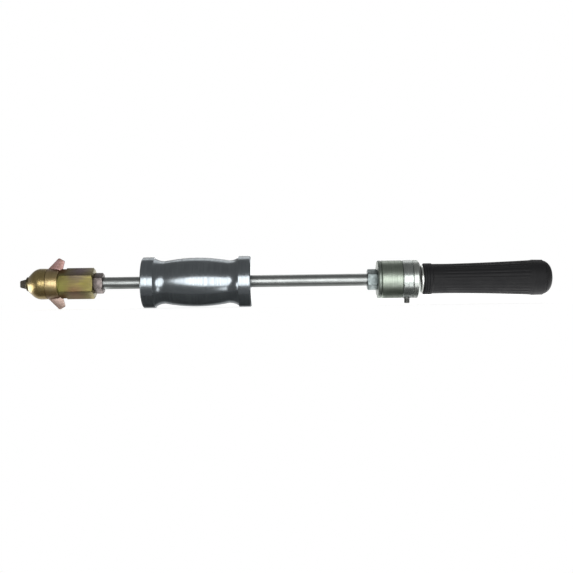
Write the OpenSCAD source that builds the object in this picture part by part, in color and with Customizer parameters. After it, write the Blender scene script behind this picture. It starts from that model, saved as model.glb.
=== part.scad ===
// Slide hammer for pulling dents: a star shaped welding bit in a screw-on chuck,
// a round rod with a sliding steel weight, and a rubber handle behind a striker
// and cable terminal.
// Millimetres. X runs along the rod, from the working point at X = 0 to the handle.
// Z points up and the cable stud hangs straight down.

/* [Star bit] */
// Distance from the centre of the star to the blunt end of each point
star_reach = 28; // [26:0.5:30]
// Width of the blunt end of each point
star_tip_w = 6.5; // [5.5:0.25:7.5]
// Thickness of the star's plate
star_t = 3; // [2:0.5:3.5]
// Angle between a point's side and its middle line
star_taper = 15; // [14:0.5:16]
// Radius of the round valley between two points
star_fillet = 6; // [3:0.5:8]
// Chamfer round the blunt end of each point
star_tip_chamfer = 0.6; // [0.2:0.1:1]

/* [Nose cap] */
// Length of the working point in front of the cap
point_out = 7; // [5:0.5:8]
// Diameter of the cap and of the chuck's round shoulder
nose_d = 31.2; // [30:0.2:33]
// Length of the low lip round the hole in the cap's front
nose_lip_len = 2.6; // [2:0.2:3]
// Diameter of that lip
nose_lip_d = 14.2; // [14:0.2:16]
// Diameter of the flat step behind the lip, where the cap's cone begins
nose_face_d = 16.8; // [16.2:0.2:18]
// Thickness of the cap's conical front wall, square to the cone
nose_wall = 2; // [1.5:0.1:2.4]
// Radius of the bend between the cone and the round of the cap
nose_bend_r = 12; // [4:1:14]
// Thread diameter between the cap and the chuck
nose_thread_d = 25; // [24:0.5:26]
// Pitch of that thread
nose_pitch = 1.5; // [1:0.5:2]
// Width of the flat rim at the rear of the cap
nose_rim = 0.8; // [0.4:0.1:1.2]
// Gap between the cap and the chuck's cone when the star is clamped
nose_gap = 0.5; // [0.3:0.1:0.8]

/* [Clamp cone] */
// Width of the front face of the hardened ring that grips the working point
cone_lip = 1.2; // [0.9:0.1:1.5]
// Length of that ring's round rim
cone_rim_len = 1.5; // [1:0.25:2]
// Gap round the clamp cone
cone_gap = 0.3; // [0.3:0.05:0.4]

/* [Chuck] */
// Length of the round shoulder behind the cap
shoulder_len = 11.4; // [9:0.2:14]
// Width of the groove between the shoulder and the hexagon
groove_w = 1; // [0.6:0.2:2]
// Depth of that groove
groove_depth = 1.4; // [0.6:0.2:2]
// Width across the flats of the hexagon
chuck_af = 27; // [26:0.5:30]
// Length of the hexagon
chuck_hex_len = 34; // [28:1:40]
// Chamfer at the rear end of the hexagon
chuck_rear_chamfer = 3; // [1:0.5:4]
// Distance that the star's slot runs on behind the star
slot_over = 4; // [2:0.5:6]

/* [Rod and nuts] */
// Diameter of the rod and of its threads in the chuck and the terminal body
rod_d = 12; // [11.5:0.1:12.4]
// Width across the flats of the lock nut and of the stop nut
rod_nut_af = 18; // [17:0.5:20]
// Thickness of the front lock nut
lock_nut_len = 9; // [7:0.5:11]
// Thickness of the rear stop nut
stop_nut_len = 10; // [7:0.5:12]
// Bare rod between the two nuts
rod_free_len = 263; // [240:1:300]
// Diameter of the rod's thin tail inside the handle
tail_d = 10; // [9:0.5:10.5]

/* [Sliding weight] */
// Length of the weight
weight_len = 108; // [100:1:120]
// Distance from the front lock nut to the weight as it lies in the picture
weight_rest = 39.5; // [20:0.5:60]
// Diameter of the end flanges
flange_d = 51; // [50:0.5:54]
// Width of the end flanges
flange_w = 12.4; // [10:0.2:15]
// Chamfer on the flanges' edges
flange_chamfer = 1; // [0.4:0.2:1.6]
// Diameter of the belly at mid length
belly_d = 49; // [47:0.5:49.5]
// Diameter of the two necks
neck_d = 42.8; // [40:0.2:44.8]
// Length of the hollow curve from each flange to its neck
neck_run = 9.7; // [8:0.1:10.5]
// Radius of that hollow curve
neck_curve_r = 17; // [14:0.5:20]
// Outside diameter of the plastic liner in the weight
liner_d = 16; // [15:0.5:18]
// Length of the lip that holds the liner at the front
lip_len = 3; // [2:0.5:5]
// Width of the ring that holds the liner at the rear
circlip_t = 1; // [0.8:0.1:1.4]
// Distance from the weight's rear face to that ring
circlip_in = 2; // [1.5:0.5:4]
// Depth of the ring's groove
circlip_bite = 0.6; // [0.4:0.1:0.8]

/* [Striker and terminal] */
// Diameter of the striker plate and of the terminal body
terminal_d = 37.6; // [36:0.2:40]
// Thickness of the striker plate
striker_t = 3.5; // [2:0.5:5]
// Length of the terminal body
terminal_len = 21; // [16:1:26]
// Diameter of the contact ring and of the clamp ring
ring_d = 38; // [36:0.5:40]
// Length of the contact ring
contact_len = 10; // [9:0.5:14]
// Diameter of the terminal body's spigot that carries the contact ring
spigot_d = 24; // [20:1:26]
// Length of the clamp ring
clamp_len = 7; // [5:0.5:9]
// Chamfer on the edges of the plate and the rings
ring_chamfer = 0.6; // [0.2:0.1:1]
// Chamfer on the rear edge of the clamp ring
clamp_rear_chamfer = 2; // [1:0.5:2.5]
// Diameter of the cable stud's thread
stud_d = 6; // [5:0.5:7]
// Diameter of the stud's root in the contact ring
stud_root_d = 8; // [7.5:0.5:9]
// Length of the stud that stands out of the contact ring
stud_out = 5; // [3:0.5:8]

/* [Handle] */
// Thickness of the fibre washer in front of the handle
front_fibre_t = 1.5; // [1:0.25:3]
// Diameter of that fibre washer
front_fibre_d = 25; // [23:0.5:27]
// Thickness of the bright washer in front of the grip
handle_washer_t = 2.5; // [1.5:0.5:4]
// Diameter of that bright washer
handle_washer_d = 27.6; // [26:0.2:30]
// Outside diameter of the insulating sleeve on the rod's tail
sleeve_d = 14; // [13:0.5:15]
// Outside diameter of the handle's aluminium core
core_d = 21; // [19.5:0.5:22]
// Length of the core
core_len = 111; // [100:1:115]
// Thickness of the rubber behind the end of the rod
grip_end_wall = 3; // [2.5:0.1:8]
// Diameter of the grip's front rim
grip_rim_d = 31; // [30:0.2:33]
// Length of that rim
grip_rim_len = 8; // [6:0.5:10]
// Diameter of the grip's waist
grip_waist_d = 29.6; // [28:0.2:30]
// Distance from the grip's front to its waist
grip_waist_at = 28; // [14:1:34]
// Diameter of the grip where it is fattest
grip_belly_d = 35.2; // [34:0.2:38]
// Length of the grip's rounded end
grip_dome_len = 12; // [11:0.2:18]
// Radius of the small flat at the very end of the grip
grip_end_flat_r = 7; // [3:0.5:8]
// Thickness of the fibre washer at the end of the core
end_fibre_t = 1.5; // [1:0.25:2]
// Thickness of the steel washer behind it
end_washer_t = 2; // [1:0.25:2.5]
// Thickness of the nut that holds the handle
end_nut_len = 8; // [6:0.5:9]
// Width across the flats of that nut
end_nut_af = 16; // [15:0.5:16.5]

/* [Hidden] */
$fn = 96;

// Clearances, and the overrun that every cut shares
thread_gap = 0.05;
run_gap = 0.08;
slip_gap = 0.1;
loose_gap = 0.5;
face_gap = 0.05;
liner_end_gap = 0.3;
over = 1;

// Colours as the photograph shows them
copper_pink = "#b98272";
zinc_yellow = "#b39a55";
zinc_olive = "#958b4c";
zinc_grey = "#9aa09e";
zinc_green = "#8f9c8c";
tool_steel = "#6e7072";
rod_steel = "#c4c7c8";
weight_chrome = "#5f676b";
bright_metal = "#c9cdcb";
fibre_black = "#2b2724";
liner_white = "#d9d6c9";
core_grey = "#b7babb";
rubber_black = "#26262a";

// The star: its valleys, and the two long edges of a wing, as a place on X for a radius
valley_half = 60 + star_taper;
star_x = star_reach;
tip_half = star_tip_w / 2;
valley_r = (tip_half + star_reach * tan(star_taper))
    / (sin(60) + cos(60) * tan(star_taper));
star_back_x = star_x + valley_r + star_fillet * (1 / sin(valley_half) - 1);
function lead_x(r) = star_x + star_reach * cos(60) - tip_half * sin(60)
    - (star_reach * sin(60) + tip_half * cos(60) - r) / tan(60 - star_taper);
function trail_x(r) = star_x + star_reach * cos(60) + tip_half * sin(60)
    - (star_reach * sin(60) - tip_half * cos(60) - r) / tan(60 + star_taper);
// Radius of the smallest round hole that the working point passes at a place on X
function point_r(x) = norm([tip_half + x * tan(star_taper), star_t / 2]);

// The nose cap and the clamp cone inside it
nose_r = nose_d / 2;
nose_lip_r = nose_lip_d / 2;
nose_face_r = nose_face_d / 2;
thread_r = nose_thread_d / 2;
cap_front_x = point_out;
cap_face_x = cap_front_x + nose_lip_len;
joint_r = nose_r - nose_rim;
cap_rear_x = lead_x(joint_r) - nose_gap;
inner_cone_drop = nose_face_r - cap_face_x - nose_wall / sin(45);
function inner_cone_x(r) = r - inner_cone_drop;
cap_hole_r = point_r(cap_front_x) + cone_gap;
cap_seat_r = point_r(inner_cone_x(cap_hole_r)) + 2 * cone_gap;
cone_front_r = cap_seat_r + cone_gap + cone_lip;
cone_front_x = inner_cone_x(cone_front_r) + cone_gap / sin(45);
cone_outer_r = thread_r - cone_gap;
cone_bend_x = cone_front_x + cone_outer_r - cone_front_r;
cone_rear_x = cone_bend_x + cone_rim_len;

// The chuck
spigot_x = cone_rear_x + cone_gap;
screw_r = thread_r - thread_gap;
shoulder_x = lead_x(joint_r);
groove_x = shoulder_x + shoulder_len;
hex_x = groove_x + groove_w;
chuck_end_x = hex_x + chuck_hex_len;
slot_end_x = trail_x(nose_r) + slot_over;
slot_half = star_t / 2 + slip_gap;

// The rod and what is threaded on it
rod_r = rod_d / 2;
tail_r = tail_d / 2;
rod_chamfer = rod_d / 12;
rod_tip_x = trail_x(rod_r - rod_chamfer) + face_gap;
lock_nut_x = chuck_end_x;
lock_nut_end_x = lock_nut_x + lock_nut_len;
stop_nut_x = lock_nut_end_x + rod_free_len;
striker_x = stop_nut_x + stop_nut_len;
terminal_x = striker_x + striker_t;
contact_x = terminal_x + terminal_len;
clamp_x = contact_x + contact_len;
front_fibre_x = clamp_x + clamp_len;
handle_washer_x = front_fibre_x + front_fibre_t;
grip_x = handle_washer_x + handle_washer_t;
core_end_x = grip_x + core_len;
end_washer_x = core_end_x + end_fibre_t;
end_nut_x = end_washer_x + end_washer_t;
rod_end_x = end_nut_x + end_nut_len + rod_chamfer;
hollow_end_x = rod_end_x + rod_chamfer;
grip_end_x = hollow_end_x + grip_end_wall;

// The weight as it lies in the picture
weight_x = lock_nut_end_x + weight_rest;
weight_end_x = weight_x + weight_len;
weight_mid_x = weight_x + weight_len / 2;
flange_r = flange_d / 2;
belly_r = belly_d / 2;
neck_r = neck_d / 2;
neck_x = weight_x + flange_w + neck_run;
belly_half = weight_mid_x - neck_x;
belly_sag = belly_r - neck_r;
belly_arc_r = (belly_half * belly_half + belly_sag * belly_sag) / (2 * belly_sag);
belly_angle = asin(belly_half / belly_arc_r);
neck_angle = asin(neck_run / neck_curve_r);
liner_r = liner_d / 2;
liner_x = weight_x + lip_len + liner_end_gap;
circlip_x = weight_end_x - circlip_in - circlip_t;
circlip_inner_r = rod_r + loose_gap;
circlip_open = 40;

// The terminal and the handle
terminal_r = terminal_d / 2;
ring_r = ring_d / 2;
contact_mid_x = contact_x + contact_len / 2;
spigot_r = spigot_d / 2;
stud_r = stud_d / 2;
stud_root_r = stud_root_d / 2;
stud_chamfer = stud_d / 8;
sleeve_r = sleeve_d / 2;
core_r = core_d / 2;
grip_rim_r = grip_rim_d / 2;
grip_waist_r = grip_waist_d / 2;
grip_belly_r = grip_belly_d / 2;
grip_front_round = grip_rim_len / 8;
grip_step = (grip_waist_at - grip_rim_len) / 3;
dome_x = grip_end_x - grip_dome_len;
end_washer_r = core_r - loose_gap;
arc_steps = 12;

// A solid turned about the X axis from points of radius and place on X
module turned(points) {
    rotate([0, 90, 0]) rotate_extrude() polygon(points);
}

// A round bar or hole along the X axis
module bar(x, len, r) {
    translate([x, 0, 0]) rotate([0, 90, 0]) cylinder(h = len, r = r);
}

// A plain tube along the X axis with both outer edges chamfered
module tube(x, len, r, hole_r, front_chamfer, rear_chamfer) {
    turned([
        [hole_r, x], [r - front_chamfer, x], [r, x + front_chamfer],
        [r, x + len - rear_chamfer], [r - rear_chamfer, x + len], [hole_r, x + len]
    ]);
}

// A hexagonal bar along the X axis, corner up, its ends cut back to given radii
module hex_bar(x, len, af, front_r, rear_r) {
    corner_r = af / 2 / cos(30);
    intersection() {
        translate([x, 0, 0]) rotate([0, 90, 0]) cylinder(h = len, r = corner_r, $fn = 6);
        turned([
            [0, x], [front_r, x], [corner_r + over, x + (corner_r + over - front_r) * tan(30)],
            [corner_r + over, x + len - (corner_r + over - rear_r) * tan(30)],
            [rear_r, x + len], [0, x + len]
        ]);
    }
}

module hex_nut(x, len, af, hole_r) {
    difference() {
        hex_bar(x, len, af, af / 2, af / 2);
        bar(x - over, len + 2 * over, hole_r);
    }
}

// One of the star's three points, then the round valley that follows it
function star_third(turn) = concat(
    [for (p = [
        [star_reach - star_tip_chamfer, -tip_half - star_tip_chamfer * tan(star_taper)],
        [star_reach, -tip_half + star_tip_chamfer],
        [star_reach, tip_half - star_tip_chamfer],
        [star_reach - star_tip_chamfer, tip_half + star_tip_chamfer * tan(star_taper)]
    ]) [p[0] * cos(turn) - p[1] * sin(turn), p[0] * sin(turn) + p[1] * cos(turn)]],
    [for (i = [0:arc_steps])
        let (
            mid = turn + 60,
            a = mid + 180 + (90 - valley_half) * (1 - 2 * i / arc_steps),
            c = valley_r + star_fillet / sin(valley_half)
        )
        [c * cos(mid) + star_fillet * cos(a), c * sin(mid) + star_fillet * sin(a)]]
);

module star_bit() {
    color(copper_pink)
    translate([star_x, star_t / 2, 0])
    rotate([90, 0, 0])
    linear_extrude(star_t)
        polygon(concat(star_third(180), star_third(300), star_third(60)));
}

module nose_cap() {
    bend = nose_bend_r * tan(22.5);
    bend_x = cap_face_x + nose_r - nose_face_r;
    color(zinc_yellow)
    turned(concat(
        [
            [cap_hole_r, cap_front_x], [nose_lip_r, cap_front_x],
            [nose_lip_r, cap_face_x], [nose_face_r, cap_face_x]
        ],
        [for (i = [0:arc_steps])
            let (a = 45 * i / arc_steps)
            [nose_r - nose_bend_r + nose_bend_r * sin(45 + a),
                bend_x + bend - nose_bend_r * cos(45 + a)]],
        [
            [nose_r, cap_rear_x],
            [joint_r, cap_rear_x],
            [thread_r, lead_x(thread_r) - nose_gap],
            [thread_r, inner_cone_x(thread_r)],
            [cap_seat_r, inner_cone_x(cap_seat_r)]
        ]
    ));
}

module clamp_cone() {
    color(tool_steel)
    turned([
        [point_r(cone_front_x) + cone_gap, cone_front_x],
        [cone_front_r, cone_front_x],
        [cone_outer_r, cone_bend_x],
        [cone_outer_r, cone_rear_x],
        [point_r(cone_rear_x) + cone_gap, cone_rear_x]
    ]);
}

module chuck_body() {
    color(zinc_olive)
    difference() {
        union() {
            turned([
                [0, spigot_x],
                [screw_r - nose_pitch / 2, spigot_x],
                [screw_r, spigot_x + nose_pitch / 2],
                [screw_r, lead_x(screw_r)],
                [joint_r, shoulder_x],
                [nose_r, shoulder_x],
                [nose_r, groove_x],
                [nose_r - groove_depth, groove_x],
                [nose_r - groove_depth, hex_x],
                [0, hex_x]
            ]);
            hex_bar(
                hex_x, chuck_hex_len, chuck_af,
                chuck_af / 2, chuck_af / 2 / cos(30) - chuck_rear_chamfer * tan(30)
            );
        }
        translate([spigot_x - over, -slot_half, -flange_r])
            cube([slot_end_x - spigot_x + over, 2 * slot_half, flange_d]);
        bar(star_back_x, chuck_end_x - star_back_x + over, rod_r + thread_gap);
    }
}

module front_lock_nut() {
    color(zinc_grey)
    hex_nut(lock_nut_x, lock_nut_len, rod_nut_af, rod_r + thread_gap);
}

module rod() {
    color(rod_steel)
    turned([
        [0, rod_tip_x],
        [rod_r - rod_chamfer, rod_tip_x],
        [rod_r, rod_tip_x + rod_chamfer],
        [rod_r, front_fibre_x],
        [tail_r, front_fibre_x],
        [tail_r, rod_end_x - rod_chamfer],
        [tail_r - rod_chamfer, rod_end_x],
        [0, rod_end_x]
    ]);
}

// Half of the weight's outline, from its front face to its middle
function half_outline() = concat(
    [
        [flange_r - flange_chamfer, 0],
        [flange_r, flange_chamfer],
        [flange_r, flange_w]
    ],
    [for (i = [0:arc_steps])
        let (a = neck_angle * (1 - i / arc_steps))
        [neck_r + neck_curve_r * (1 - cos(a)),
            flange_w + neck_run - neck_curve_r * sin(a)]],
    [for (i = [1:arc_steps])
        let (a = belly_angle * (1 - i / arc_steps))
        [belly_r - belly_arc_r * (1 - cos(a)), weight_len / 2 - belly_arc_r * sin(a)]]
);

module hammer_weight() {
    front = half_outline();
    last = len(front) - 1;
    bore_r = liner_r + run_gap;
    color(weight_chrome)
    difference() {
        turned(concat(
            [[0, weight_x]],
            [for (p = front) [p[0], weight_x + p[1]]],
            [for (i = [last - 1:-1:0]) [front[i][0], weight_end_x - front[i][1]]],
            [[0, weight_end_x]]
        ));
        bar(weight_x - over, lip_len + 2 * over, rod_r + loose_gap);
        bar(weight_x + lip_len, weight_len - lip_len + over, bore_r);
        bar(circlip_x, circlip_t, bore_r + circlip_bite);
    }
}

module weight_liner() {
    color(liner_white)
    tube(liner_x, circlip_x - liner_end_gap - liner_x, liner_r, rod_r + run_gap, loose_gap, loose_gap);
}

module liner_circlip() {
    reach = flange_r;
    color(tool_steel)
    difference() {
        tube(
            circlip_x + face_gap, circlip_t - 2 * face_gap,
            liner_r + run_gap + circlip_bite - face_gap, circlip_inner_r, 0, 0
        );
        translate([circlip_x - over, 0, 0])
        rotate([0, 90, 0])
        linear_extrude(circlip_t + 2 * over)
            polygon([
                [0, 0],
                [reach * cos(circlip_open / 2), -reach * sin(circlip_open / 2)],
                [reach * cos(circlip_open / 2), reach * sin(circlip_open / 2)]
            ]);
    }
}

module rear_stop_nut() {
    color(zinc_grey)
    hex_nut(stop_nut_x, stop_nut_len, rod_nut_af, rod_r + thread_gap);
}

module striker_plate() {
    color(bright_metal)
    tube(striker_x, striker_t, terminal_r, rod_r + slip_gap, ring_chamfer, ring_chamfer);
}

module terminal_body() {
    color(zinc_green)
    turned([
        [rod_r + thread_gap, terminal_x],
        [terminal_r - ring_chamfer, terminal_x],
        [terminal_r, terminal_x + ring_chamfer],
        [terminal_r, contact_x - ring_chamfer],
        [terminal_r - ring_chamfer, contact_x],
        [spigot_r, contact_x],
        [spigot_r, clamp_x - face_gap],
        [rod_r + thread_gap, clamp_x - face_gap]
    ]);
}

module contact_ring() {
    color(bright_metal)
    difference() {
        tube(contact_x, contact_len, ring_r, spigot_r + slip_gap, ring_chamfer, ring_chamfer);
        translate([contact_mid_x, 0, -ring_r - over])
            cylinder(h = ring_r + over, r = stud_root_r + thread_gap);
    }
}

module terminal_stud() {
    color(tool_steel)
    translate([contact_mid_x, 0, 0])
    rotate([180, 0, 0])
    rotate_extrude()
        polygon([
            [0, spigot_r + slip_gap],
            [stud_root_r, spigot_r + slip_gap],
            [stud_root_r, ring_r],
            [stud_r, ring_r],
            [stud_r, ring_r + stud_out - stud_chamfer],
            [stud_r - stud_chamfer, ring_r + stud_out],
            [0, ring_r + stud_out]
        ]);
}

module clamp_ring() {
    color(bright_metal)
    tube(clamp_x, clamp_len, ring_r, rod_r + thread_gap, ring_chamfer, clamp_rear_chamfer);
}

module insulating_washer() {
    color(fibre_black)
    tube(front_fibre_x, front_fibre_t, front_fibre_d / 2, tail_r + slip_gap, 0, 0);
}

module handle_washer() {
    color(bright_metal)
    tube(
        handle_washer_x, handle_washer_t, handle_washer_d / 2,
        sleeve_r + slip_gap, ring_chamfer, ring_chamfer
    );
}

module insulating_sleeve() {
    color(liner_white)
    tube(handle_washer_x, core_end_x - handle_washer_x, sleeve_r, tail_r + slip_gap, 0, 0);
}

module handle_core() {
    color(core_grey)
    tube(grip_x, core_len, core_r, sleeve_r + slip_gap, ring_chamfer, ring_chamfer);
}

// The grip: a low rim, a waist, a slow swelling and a rounded closed end
module grip_sleeve() {
    color(rubber_black)
    turned(concat(
        [
            [core_r + slip_gap, grip_x],
            [grip_rim_r - grip_front_round, grip_x],
            [grip_rim_r, grip_x + grip_front_round],
            [grip_rim_r, grip_x + grip_rim_len],
            [(grip_rim_r + grip_waist_r) / 2, grip_x + grip_rim_len + grip_step],
            [grip_waist_r, grip_x + grip_waist_at]
        ],
        [for (i = [0:arc_steps])
            let (a = 90 * i / arc_steps)
            [grip_end_flat_r + (grip_belly_r - grip_end_flat_r) * cos(a),
                dome_x + grip_dome_len * sin(a)]],
        [
            [0, grip_end_x],
            [0, hollow_end_x],
            [core_r + slip_gap - rod_chamfer, hollow_end_x],
            [core_r + slip_gap, hollow_end_x - rod_chamfer]
        ]
    ));
}

module end_insulating_washer() {
    color(fibre_black)
    tube(core_end_x, end_fibre_t, end_washer_r, tail_r + slip_gap, 0, 0);
}

module end_washer() {
    color(zinc_grey)
    tube(end_washer_x, end_washer_t, end_washer_r, tail_r + slip_gap, 0, 0);
}

module end_nut() {
    color(zinc_grey)
    hex_nut(end_nut_x, end_nut_len, end_nut_af, tail_r + thread_gap);
}

star_bit();
nose_cap();
clamp_cone();
chuck_body();
front_lock_nut();
rod();
hammer_weight();
weight_liner();
liner_circlip();
rear_stop_nut();
striker_plate();
terminal_body();
contact_ring();
terminal_stud();
clamp_ring();
insulating_washer();
handle_washer();
insulating_sleeve();
handle_core();
grip_sleeve();
end_insulating_washer();
end_washer();
end_nut();
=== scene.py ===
import math

import bmesh
import bpy
from mathutils import Matrix, Vector


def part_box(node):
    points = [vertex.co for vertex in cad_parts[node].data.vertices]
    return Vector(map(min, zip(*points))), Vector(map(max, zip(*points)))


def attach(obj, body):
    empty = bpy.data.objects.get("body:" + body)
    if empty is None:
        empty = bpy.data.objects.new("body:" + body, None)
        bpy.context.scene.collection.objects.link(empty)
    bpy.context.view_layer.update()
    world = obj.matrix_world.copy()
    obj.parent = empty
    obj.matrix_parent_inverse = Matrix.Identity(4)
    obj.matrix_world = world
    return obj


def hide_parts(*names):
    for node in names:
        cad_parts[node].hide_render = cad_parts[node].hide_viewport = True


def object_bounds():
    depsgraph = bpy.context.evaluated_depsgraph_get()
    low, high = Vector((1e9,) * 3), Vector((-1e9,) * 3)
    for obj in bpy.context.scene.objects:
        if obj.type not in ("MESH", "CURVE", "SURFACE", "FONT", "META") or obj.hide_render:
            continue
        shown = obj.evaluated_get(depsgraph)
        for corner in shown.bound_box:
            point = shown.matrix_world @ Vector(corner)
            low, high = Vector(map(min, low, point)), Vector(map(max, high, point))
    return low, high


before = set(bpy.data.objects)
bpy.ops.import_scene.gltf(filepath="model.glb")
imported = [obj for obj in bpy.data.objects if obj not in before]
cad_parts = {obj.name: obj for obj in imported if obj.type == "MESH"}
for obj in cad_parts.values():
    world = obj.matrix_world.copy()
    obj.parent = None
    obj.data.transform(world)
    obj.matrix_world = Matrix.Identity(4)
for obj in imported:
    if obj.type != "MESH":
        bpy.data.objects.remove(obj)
cad_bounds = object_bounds()
scene = bpy.context.scene
scene.view_settings.view_transform = "Standard"


def in_scene(name, data):
    """A new object in the scene."""
    thing = bpy.data.objects.new(name, data)
    scene.collection.objects.link(thing)
    return thing


# The camera looks square at the side of the tool, along +Y, from a little under a metre.
# The picture's tool rises slightly to the right, which is a small roll of the camera.
mm = 0.001
camera_distance = 870 * mm
picture_width = 573 * mm
aim_x = 266 * mm
aim_below_rod = 5.8 * mm
camera_roll = math.radians(0.8)
sensor_mm = 36

right = Vector((math.cos(camera_roll), 0, -math.sin(camera_roll)))
up = Vector((math.sin(camera_roll), 0, math.cos(camera_roll)))
back = right.cross(up)
camera_data = bpy.data.cameras.new("camera")
camera_data.sensor_width = sensor_mm
camera_data.lens = sensor_mm * camera_distance / picture_width
camera = in_scene("camera", camera_data)
camera.matrix_world = Matrix((right, up, back)).transposed().to_4x4()
camera.location = Vector((aim_x, 0, 0)) - aim_below_rod * up + camera_distance * back
scene.camera = camera


# The table top is a pale matt board, with the tool along its front edge. It keeps the
# tool's shadow, and to the camera it is as white as the room. To rays off metal it glows
# with painted shade right under the tool, and painted light behind it, under the grip and
# at the nuts.
def colour(hex_text):
    """Linear colour of an sRGB hex value."""
    shares = [int(hex_text[i:i + 2], 16) / 255 for i in (1, 3, 5)]
    linear = [s / 12.92 if s <= 0.04045 else ((s + 0.055) / 1.055) ** 2.4 for s in shares]
    return (*linear, 1)


def add_node(tree, kind, inputs=None, **settings):
    """Adds a node with its settings, sets or links its inputs, and gives its outputs."""
    node = tree.nodes.new(kind)
    for key, value in settings.items():
        setattr(node, key, value)
    for key, value in (inputs or {}).items():
        if isinstance(value, bpy.types.NodeSocket):
            tree.links.new(value, node.inputs[key])
        else:
            node.inputs[key].default_value = value
    return node.outputs


def own_place(tree):
    """The spot on the object, and its parts on X, Y and Z."""
    place = add_node(tree, "ShaderNodeTexCoord")["Object"]
    return place, add_node(tree, "ShaderNodeSeparateXYZ", {0: place})


def within(tree, most, *borders, growth="SMOOTHSTEP"):
    """A share of up to most inside its borders, and 0 outside. A border is a value, with
    the amount of it where the share starts to grow and the amount where it is full."""
    share = most
    for value, start, full in borders:
        share = add_node(tree, "ShaderNodeMapRange",
                         {"Value": value, "From Min": start, "From Max": full, "To Max": share},
                         interpolation_type=growth)[0]
    return share


def seen_directly(tree, mirrored):
    """1 for rays from the camera, mirrored for rays off metal or through glass, else 0."""
    path = add_node(tree, "ShaderNodeLightPath")
    bent = add_node(tree, "ShaderNodeMath",
                    {0: path["Is Glossy Ray"], 1: path["Is Transmission Ray"]},
                    operation="ADD", use_clamp=True)[0]
    return add_node(tree, "ShaderNodeMath", {0: bent, 1: mirrored, 2: path["Is Camera Ray"]},
                    operation="MULTIPLY_ADD")[0]


def empty_material(name):
    """A material without nodes, and its tree."""
    material = bpy.data.materials.new(name)
    material.use_nodes = True
    material.node_tree.nodes.clear()
    return material, material.node_tree


table_front = -30 * mm
table_back = 900 * mm
table_left = -25 * mm
table_right = 1250 * mm
table_white = colour("#BEBEBC")
room_white = colour("#FFFFFF")
table_glow = 0.79
table_mirrored_glow = 1.82
half_shade = 0.4
half_shade_from = -8 * mm
half_shade_to = -2 * mm
full_light_from = 14 * mm
full_light_to = 150 * mm
shade_ends = 398 * mm
shade_fade = 16 * mm
grip_side_glow = 1.5
nut_glow = 2.1
nut_glow_xs = (77 * mm, 355 * mm)
nut_glow_core = 5 * mm
nut_glow_reach = 9 * mm
nut_glow_near_y = 11 * mm
nut_glow_far_y = 19 * mm

# A matt board scatters light evenly and keeps a soft shadow. Its glow in reflections is
# painted light and shade, set by place on the board.
table_mat, tree = empty_material("matt_white_board")
table_part = own_place(tree)[1]
table_x, table_y = table_part["X"], table_part["Y"]
under = within(tree, half_shade, (table_y, half_shade_from, half_shade_to))
behind = within(tree, 1 - half_shade, (table_y, full_light_from, full_light_to))
lit = add_node(tree, "ShaderNodeMath", {0: under, 1: behind}, operation="ADD")[0]
# Painted light: brighter glow under the grip and at the nuts, which the grip's underside and the
# nuts' lower flats show as painted highlights.
painted_glow_patches = [within(tree, grip_side_glow, (table_x, shade_ends, shade_ends + shade_fade))]
for nut_x in nut_glow_xs:
    painted_glow_patches.append(within(tree, nut_glow,
                          (table_x, nut_x - nut_glow_reach, nut_x - nut_glow_core),
                          (table_x, nut_x + nut_glow_reach, nut_x + nut_glow_core),
                          (table_y, half_shade_from, half_shade_to),
                          (table_y, nut_glow_far_y, nut_glow_near_y)))
for patch in painted_glow_patches:
    lit = add_node(tree, "ShaderNodeMath", {0: lit, 1: patch}, operation="MAXIMUM")[0]
mirrored = add_node(tree, "ShaderNodeMath", {0: lit, 1: table_mirrored_glow},
                    operation="MULTIPLY")[0]
glow = add_node(tree, "ShaderNodeMath", {0: seen_directly(tree, mirrored), 1: table_glow},
                operation="MULTIPLY")[0]
board = add_node(tree, "ShaderNodeBsdfDiffuse", {"Color": table_white})[0]
shine = add_node(tree, "ShaderNodeEmission", {"Color": room_white, "Strength": glow})[0]
both = add_node(tree, "ShaderNodeAddShader", {0: board, 1: shine})[0]
add_node(tree, "ShaderNodeOutputMaterial", {"Surface": both})

table_z = cad_bounds[0].z
table_mesh = bpy.data.meshes.new("table_top")
table_mesh.from_pydata(
    [(x, y, table_z) for x, y in ((table_left, table_front), (table_right, table_front),
                                  (table_right, table_back), (table_left, table_back))],
    [], [(0, 1, 2, 3)])
table_mesh.materials.append(table_mat)
table_top = in_scene("table_top", table_mesh)

# The room is white behind the tool, which metal shows at its edges, and dim behind the
# camera, which gives metal its dark sides. The camera itself sees white on every side.
room_fill = 0.28
backdrop_starts = 0.75
backdrop_full = 1.05

world = bpy.data.worlds.new("white_room")
scene.world = world
world.use_nodes = True
tree = world.node_tree
tree.nodes.clear()
dim = add_node(tree, "ShaderNodeBackground", {"Color": room_white, "Strength": room_fill})[0]
white = add_node(tree, "ShaderNodeBackground", {"Color": room_white, "Strength": 1})[0]
direction = add_node(tree, "ShaderNodeTexCoord")["Generated"]
heading = add_node(tree, "ShaderNodeSeparateXYZ", {0: direction})["Y"]
backdrop = within(tree, 1, (heading, backdrop_starts, backdrop_full))
room = add_node(tree, "ShaderNodeMixShader",
                {0: seen_directly(tree, backdrop), 1: dim, 2: white})[0]
add_node(tree, "ShaderNodeOutputWorld", {"Surface": room})


# Five oval soft boxes: a long one behind the camera, which draws the bright line along every
# turned piece, a dimmer one opposite it, one overhead for the shadow, one beyond the nose, and
# a small low one at the handle's side, which gives the terminal body its second line.
def soft_box(name, width, height, brightness, place, turn):
    """An oval lamp. Its brightness is that of its surface, and its turn is in degrees."""
    lamp = bpy.data.lights.new(name, "AREA")
    lamp.shape = "ELLIPSE"
    lamp.size = width
    lamp.size_y = height
    lamp.energy = brightness * math.pi * (math.pi / 4 * width * height)
    box = in_scene(name, lamp)
    box.location = place
    box.rotation_euler = [math.radians(angle) for angle in turn]
    box.visible_camera = False


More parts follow.
